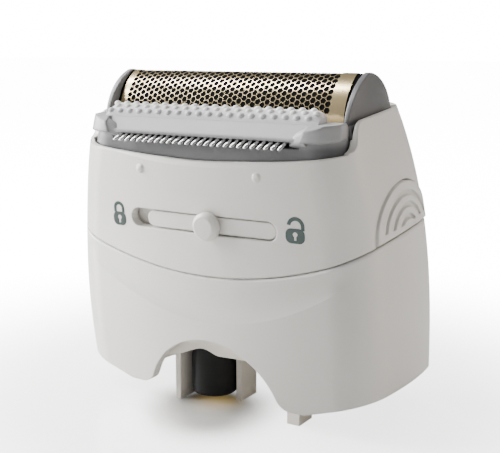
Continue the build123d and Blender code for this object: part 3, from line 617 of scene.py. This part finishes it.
# Foil: thin champagne-coated steel, etched with staggered holes and bent to a pointed vault. Plain
# bands are left along its legs and at both ends.
foil_left = -19.0
foil_right = 18.6
foil_half_width = 4.9
foil_base = 43.0
foil_apex = 49.1
foil_leg = 1.4
swell_out = 0.70
swell_up = 0.56
side_points = 160
leg_points = 8
vault_points = 401
crest_ease = 47
crest_clear = 60
hole_pitch = 0.90
column_share = math.sqrt(0.75)
hole_radius = 0.46
hole_corners = 6
hole_margin = 0.15
holes_half_length = 17.2
holes_shift = -0.8
holes_clear = 1.0
rim_step = 0.3
band_step_x = 0.5
band_step_round = 0.1
champagne_dark = (0.74, 0.57, 0.30)
champagne_light = (0.88, 0.73, 0.46)
champagne_rough = 0.17
blotch_scale = 120.0


def circle_through(first, middle, last, count):
    """Points along the arc through three points of a plane."""
    (ax, ay), (bx, by), (cx, cy) = first, middle, last
    d = 2 * (ax * (by - cy) + bx * (cy - ay) + cx * (ay - by))
    a2, b2, c2 = ax * ax + ay * ay, bx * bx + by * by, cx * cx + cy * cy
    ox = (a2 * (by - cy) + b2 * (cy - ay) + c2 * (ay - by)) / d
    oy = (a2 * (cx - bx) + b2 * (ax - cx) + c2 * (bx - ax)) / d
    radius = math.hypot(ax - ox, ay - oy)
    start = math.atan2(ay - oy, ax - ox)
    end = math.atan2(cy - oy, cx - ox)
    turn = (end - start + math.pi) % (2 * math.pi) - math.pi
    angles = start + turn * np.linspace(0, 1, count)
    return np.stack((ox + radius * np.cos(angles), oy + radius * np.sin(angles)), axis=1)


def lengths(line):
    """Length along a line of points, at each of them."""
    return np.concatenate(([0], np.cumsum(np.hypot(*np.diff(line, axis=0).T))))


swell = (-swell_out * foil_half_width, foil_base + swell_up * (foil_apex - foil_base))
near_side = circle_through((-foil_half_width, foil_base), swell, (0, foil_apex), side_points)
vault = np.concatenate((near_side, near_side[-2::-1] * (-1, 1)))
span = lengths(vault)
even = np.linspace(0, span[-1], vault_points)
vault = np.stack((np.interp(even, span, vault[:, 0]), np.interp(even, span, vault[:, 1])), axis=1)
window = np.hanning(crest_ease) / np.hanning(crest_ease).sum()
for axis in (0, 1):
    eased = np.convolve(vault[:, axis], window, mode="same")
    vault[crest_clear:-crest_clear, axis] = eased[crest_clear:-crest_clear]
leg_z = foil_base + np.linspace(-foil_leg, 0, leg_points + 1)[:-1]
front_leg = np.stack((np.full(leg_points, -foil_half_width), leg_z), axis=1)
profile = np.concatenate((front_leg, vault, (front_leg * (-1, 1))[::-1]))
profile_reach = lengths(profile)
profile_length = float(np.hypot(*np.diff(profile, axis=0).T).sum())
profile_mesh = bpy.data.meshes.new("foil_profile")
profile_edges = [(i, i + 1) for i in range(len(profile) - 1)]
profile_mesh.from_pydata([(0, y, z) for y, z in profile], profile_edges, [])
profile_line = shown("foil_profile", profile_mesh)

# The holes lie in columns across the foil, every second one half a pitch further round. The flat sheet
# is cut first, and then bent along the profile.
etching, given = geometry_tree("etched_sheet", {
    "Pitch": "Float", "Hole radius": "Float", "Hole corners": "Int", "Columns": "Int", "Rows": "Int",
    "Length": "Float", "Width": "Float", "Rim step": "Float", "Arc": "Float", "Profile": "Object",
    "Material": "Material",
})
lattice = Field.of(etching, "GeometryNodeMeshGrid", "Mesh", {
    "Size X": (given["Columns"] - 1.0) * (given["Pitch"] * column_share),
    "Size Y": (given["Rows"] - 1.0) * given["Pitch"],
    "Vertices X": given["Columns"], "Vertices Y": given["Rows"],
})
column = (Field.of(etching, "GeometryNodeInputIndex") / given["Rows"]).maths("FLOOR")
stagger = (column.maths("MODULO", 2.0) - 0.5) * (given["Pitch"] * 0.5)
staggered = {"Geometry": lattice, "Offset": xyz(etching, y=stagger)}
staggered = Field.of(etching, "GeometryNodeSetPosition", inputs=staggered)
ring = {"Resolution": given["Hole corners"], "Radius": given["Hole radius"]}
ring = Field.of(etching, "GeometryNodeCurvePrimitiveCircle", "Curve", ring)
holes = Field.of(etching, "GeometryNodeInstanceOnPoints", inputs={"Points": staggered, "Instance": ring})
holes = Field.of(etching, "GeometryNodeRealizeInstances", inputs={"Geometry": holes})
blank = {"Width": given["Length"], "Height": given["Width"]}
blank = Field.of(etching, "GeometryNodeCurvePrimitiveQuadrilateral", inputs=blank)
blank = {"Curve": blank, "Length": given["Rim step"]}
blank = Field.of(etching, "GeometryNodeResampleCurve", inputs=blank, mode="LENGTH")
loops = Field.of(etching, "GeometryNodeJoinGeometry", inputs={0: [holes, blank]})
flat_sheet = Field.of(etching, "GeometryNodeFillCurve", inputs={"Curve": loops})
flat = Field.of(etching, "GeometryNodeInputPosition")
flat = Field.of(etching, "ShaderNodeSeparateXYZ", inputs={0: flat})
bend_line = Field.of(etching, "GeometryNodeObjectInfo", "Geometry", {"Object": given["Profile"]})
bend_line = Field.of(etching, "GeometryNodeMeshToCurve", inputs={"Mesh": bend_line})
bent = {"Curves": bend_line, "Length": flat["Y"] + given["Arc"] * 0.5}
bent = Field.of(etching, "GeometryNodeSampleCurve", "Position", bent, mode="LENGTH")
bent = {0: bent, 1: xyz(etching, x=flat["X"])}
bent = Field.of(etching, "ShaderNodeVectorMath", inputs=bent, operation="ADD")
vaulted = {"Geometry": flat_sheet, "Position": bent}
finish_tree(Field.of(etching, "GeometryNodeSetPosition", inputs=vaulted), given["Material"])

champagne = bpy.data.materials.new("champagne_steel")
champagne.use_nodes = True
surface(champagne)["Metallic"].default_value = 1.0
blotch = noise(champagne.node_tree, blotch_scale)
blotch.between(champagne_dark, champagne_light).into(surface(champagne)["Base Color"])
(blotch * drift + champagne_rough).into(surface(champagne)["Roughness"])

column_step = hole_pitch * column_share
columns = int(2 * holes_half_length / column_step)
rows = int((profile_length - 2 * foil_leg - holes_clear) / hole_pitch)
net_half = (columns - 1) / 2 * column_step + hole_radius + hole_margin
net_width = (rows - 0.5) * hole_pitch + 2 * hole_radius * column_share + 2 * hole_margin
net = plain_mesh("foil_net", etching, {
    "Pitch": hole_pitch, "Hole radius": hole_radius, "Hole corners": hole_corners, "Columns": columns,
    "Rows": rows, "Length": 2 * net_half, "Width": net_width, "Rim step": rim_step,
    "Arc": profile_length, "Profile": profile_line, "Material": champagne,
})
bpy.data.objects.remove(profile_line)
for vertex in net.data.vertices:
    vertex.co.x += holes_shift


def band(name, low_x, high_x, low_reach, high_reach):
    """Plain part of the foil between two values of X and two lengths along the profile."""
    stations = np.linspace(low_x, high_x, max(2, int((high_x - low_x) / band_step_x)))
    reaches = np.linspace(low_reach, high_reach, max(4, int((high_reach - low_reach) / band_step_round)))
    ys = np.interp(reaches, profile_reach, profile[:, 0])
    zs = np.interp(reaches, profile_reach, profile[:, 1])
    points = [(x, y, z) for x in stations for y, z in zip(ys, zs)]
    return piece(name, points, quads(len(stations), len(reaches)), champagne)


net_left = holes_shift - net_half
net_right = holes_shift + net_half
edge_reach = (profile_length - net_width) / 2
sheets = [
    net,
    band("foil_band_left", foil_left, net_left, 0, profile_length),
    band("foil_band_right", net_right, foil_right, 0, profile_length),
    band("foil_leg_front", net_left, net_right, 0, edge_reach),
    band("foil_leg_rear", net_left, net_right, profile_length - edge_reach, profile_length),
]
slopes = np.gradient(profile, axis=0)
outward = np.stack((-slopes[:, 1], slopes[:, 0]), axis=1)
outward /= np.linalg.norm(outward, axis=1)[:, None]
for sheet in sheets:
    points = corners(sheet.data)
    nearest = np.argmin(((points[:, None, 1:] - profile[None]) ** 2).sum(2), axis=1)
    normals = np.concatenate((np.zeros((len(points), 1)), outward[nearest]), axis=1)
    settle(sheet.data, points)
    sheet.data.shade_smooth()
    sheet.data.normals_split_custom_set_from_vertices((place(normals) - place([(0, 0, 0)])) * 1000)
    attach(sheet, "foil_cassette")
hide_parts("foil")

# Shade inside the cassette: a black sheet close under the foil is painted shade that stands for it,
# and it hides the cutter. It shows through the holes, and as a dark line between each end of the foil
# and its cheek.
shade_sheet_half = 19.58
shade_sheet_depth = 0.1
shade_black = moulded("painted_shade_black", (0.002, 0.002, 0.002), roughness=0.8, specular=0.05)
sunk = profile - shade_sheet_depth * outward
shade_sheet_points = [(x, y, z) for x in (-shade_sheet_half, shade_sheet_half) for y, z in sunk]
shade_sheet = piece("foil_lining", place(shade_sheet_points), quads(2, len(sunk), flipped=True), shade_black)
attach(shade_sheet, "foil_cassette")

# Soft strip along the crest of the trimmer bar, moulded in pale rubber: a rounded ridge with rows of
# small pips that lift the hairs. Its colour is painted lighter towards the foil, where light falls on its
# crest, and darker down its front, as painted light and shade.
strip_rear = -7.3
strip_front = (-9.9, 43.6)
strip_swell = (-9.28, 44.52)
strip_crest = (-7.6, 45.1)
strip_half = 17.5
strip_stations = 60
ridge_points = 14
rear_round = (0.1, 0.12)
rear_edge = 0.45
end_run = 1.2
end_fall = 0.45
strip_sharp = 50
pip_pitch = 1.72
pip_count = 20
pip_rows = (8.0, 34.0, 60.0)
pip_radius = 0.55
pip_shape = (1.0, 0.8, 0.75)
pip_sink = (0.05, 0.1)
pip_stagger = 0.25
pale_front = (0.47, 0.47, 0.48)
pale_rear = (0.88, 0.87, 0.84)

pale = moulded("pale_rubber", pale_front, roughness=0.5)
crest_y = place([(0, *strip_crest)])[0][1]
front_y = place([(0, *strip_front)])[0][1]
# Painted light and shade: lighter up to the crest, darker down the front slope.
fade = (apart(pale.node_tree)["Y"] - front_y) / (crest_y - front_y)
fade.between(pale_front, pale_rear).into(surface(pale)["Base Color"])

ridge = circle_through(strip_front, strip_swell, strip_crest, ridge_points)
section = np.concatenate((ridge, [
    (strip_rear - rear_round[0], strip_crest[1] - rear_round[1]),
    (strip_rear, strip_crest[1] - rear_edge),
    (strip_rear, strip_front[1]),
]))
stations = np.linspace(-strip_half, strip_half, strip_stations)
taper = 1 - np.clip((np.abs(stations) - strip_half + end_run) / end_run, 0, 1) ** 2 * end_fall
strip_points = []
for x, share in zip(stations, taper):
    strip_points += [(x, y, strip_front[1] + (z - strip_front[1]) * share) for y, z in section]
strip = piece("soft_strip_ridge", place(strip_points), capped(strip_stations, len(section)), pale)
strip.data.shade_smooth()
strip.data.set_sharp_from_angle(angle=math.radians(strip_sharp))
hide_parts("soft_strip")
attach(strip, "trimmer")

pipping, wanted = geometry_tree("pip_row", {
    "Count": "Int", "Start": "Vector", "Step": "Vector", "Turn": "Rotation", "Radius": "Float",
    "Shape": "Vector", "Material": "Material",
})
pip_line = {"Count": wanted["Count"], "Start Location": wanted["Start"], "Offset": wanted["Step"]}
pip_line = Field.of(pipping, "GeometryNodeMeshLine", inputs=pip_line)
pip = {"Segments": 14, "Rings": 8, "Radius": wanted["Radius"]}
pip = Field.of(pipping, "GeometryNodeMeshUVSphere", "Mesh", pip)
pip = Field.of(pipping, "GeometryNodeTransform", inputs={"Geometry": pip, "Scale": wanted["Shape"]})
pip_set = {"Points": pip_line, "Instance": pip, "Rotation": wanted["Turn"]}
finish_tree(Field.of(pipping, "GeometryNodeInstanceOnPoints", inputs=pip_set), wanted["Material"])
for number, swing in enumerate(pip_rows):
    pip_y, pip_z = section[int(round((1 - swing / 90) * (ridge_points - 1)))]
    first_x = -(pip_count - 1) / 2 * pip_pitch + (pip_stagger if number % 2 else -pip_stagger) * pip_pitch
    pips = plain_mesh(f"pips_{number}", pipping, {
        "Count": pip_count, "Start": (first_x, pip_y + pip_sink[0], pip_z - pip_sink[1]),
        "Step": (pip_pitch, 0, 0), "Turn": (math.radians(swing), 0, 0), "Radius": pip_radius,
        "Shape": pip_shape, "Material": pale,
    })
    settle(pips.data, corners(pips.data))
    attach(pips, "trimmer")

# Padlock signs printed on the front in grey-green ink: a closed lock on the left of the slider and
# an open one on its right. Each is cut flat and laid on the curved wall.
closed_place = (-14.5, 29.65)
open_place = (14.9, 30.0)
closed_half = 1.2
open_half = 1.42
closed_shackle = {"aside": 0.0, "rise": 0.55, "outer": 1.0, "inner": 0.5, "leg": 0.65, "opening": 0}
open_shackle = {"aside": 0.12, "rise": 0.30, "outer": 1.30, "inner": 0.76, "leg": 0.55, "opening": 8}
sign_lift = 0.03
sign_start_y = -20
body_drop = 1.75
body_height = 2.05
body_corner = 0.8
key_radius = 0.34
key_rise = 0.2
key_half = 0.15
key_drop = 0.62

ink = moulded("grey_green_ink", (0.040, 0.062, 0.057), roughness=0.5)
wall = skin(nodes["upper_housing"].data)
forward = Vector(place([(0, -1, 0)])[0]) - Vector(place([(0, 0, 0)])[0])
forward.normalize()


def arc(centre_x, centre_z, radius, first, last, count):
    """Points on a circle of the flat sign from one angle to another, in degrees."""
    angles = np.radians(np.linspace(first, last, count))
    return [(centre_x + radius * math.cos(angle), centre_z + radius * math.sin(angle)) for angle in angles]


def lock_body(middle_x, half, low_z):
    """Outline of the lock's body, a box with rounded corners."""
    side_x = half - body_corner
    low, high = low_z + body_corner, low_z + body_height - body_corner
    outline = arc(middle_x + side_x, high, body_corner, 0, 90, 6)
    outline += arc(middle_x - side_x, high, body_corner, 90, 180, 6)
    outline += arc(middle_x - side_x, low, body_corner, 180, 270, 6)
    return outline + arc(middle_x + side_x, low, body_corner, 270, 360, 6)


def keyhole(middle_x, middle_z):
    """Outline of the keyhole, a round hole over a slit."""
    foot = middle_z - key_drop
    round_hole = arc(middle_x, middle_z + key_rise, key_radius, -60, 240, 16)
    return round_hole + [(middle_x - key_half, foot), (middle_x + key_half, foot)]


def shackle(middle_x, middle_z, radius, leg, opening):
    """One edge of the shackle: two legs and a half ring. An opening leaves out the left leg."""
    edge = [(middle_x + radius, middle_z - leg)] + arc(middle_x, middle_z, radius, 0, 180 - opening, 22)
    return edge if opening else edge + [(middle_x - radius, middle_z - leg)]


def printed(name, middle_x, sign_z, body_half, loop):
    """Padlock sign cut flat, then laid on the wall of the housing."""
    sign = bmesh.new()

    def points_of(outline):
        return [sign.verts.new((x, 0, z)) for x, z in outline]

    low_z = sign_z - body_drop
    rim = []
    for outline in (lock_body(middle_x, body_half, low_z), keyhole(middle_x, low_z + body_height / 2)):
        points = points_of(outline)
        rim += [sign.edges.new((points[i - 1], points[i])) for i in range(len(points))]
    bmesh.ops.triangle_fill(sign, use_beauty=True, edges=rim)
    loop_at = (middle_x + loop["aside"], low_z + body_height + loop["rise"])
    outer = points_of(shackle(*loop_at, loop["outer"], loop["leg"], loop["opening"]))
    inner = points_of(shackle(*loop_at, loop["inner"], loop["leg"], loop["opening"]))
    for i in range(len(outer) - 1):
        sign.faces.new((outer[i], outer[i + 1], inner[i + 1], inner[i]))
    bmesh.ops.subdivide_edges(sign, edges=sign.edges, cuts=2, use_grid_fill=True)
    for vertex in sign.verts:
        before = Vector(place([(vertex.co.x, sign_start_y, vertex.co.z)])[0])
        vertex.co = wall.ray_cast(before, -forward)[0] + forward * (sign_lift / 1000)
    bmesh.ops.recalc_face_normals(sign, faces=sign.faces)
    sign_mesh = bpy.data.meshes.new(name)
    sign.to_mesh(sign_mesh)
    sign.free()
    sign_mesh.materials.append(ink)
    padlock = shown(name, sign_mesh)
    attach(padlock, "casing")


printed("closed_padlock", *closed_place, closed_half, closed_shackle)
printed("open_padlock", *open_place, open_half, open_shackle)
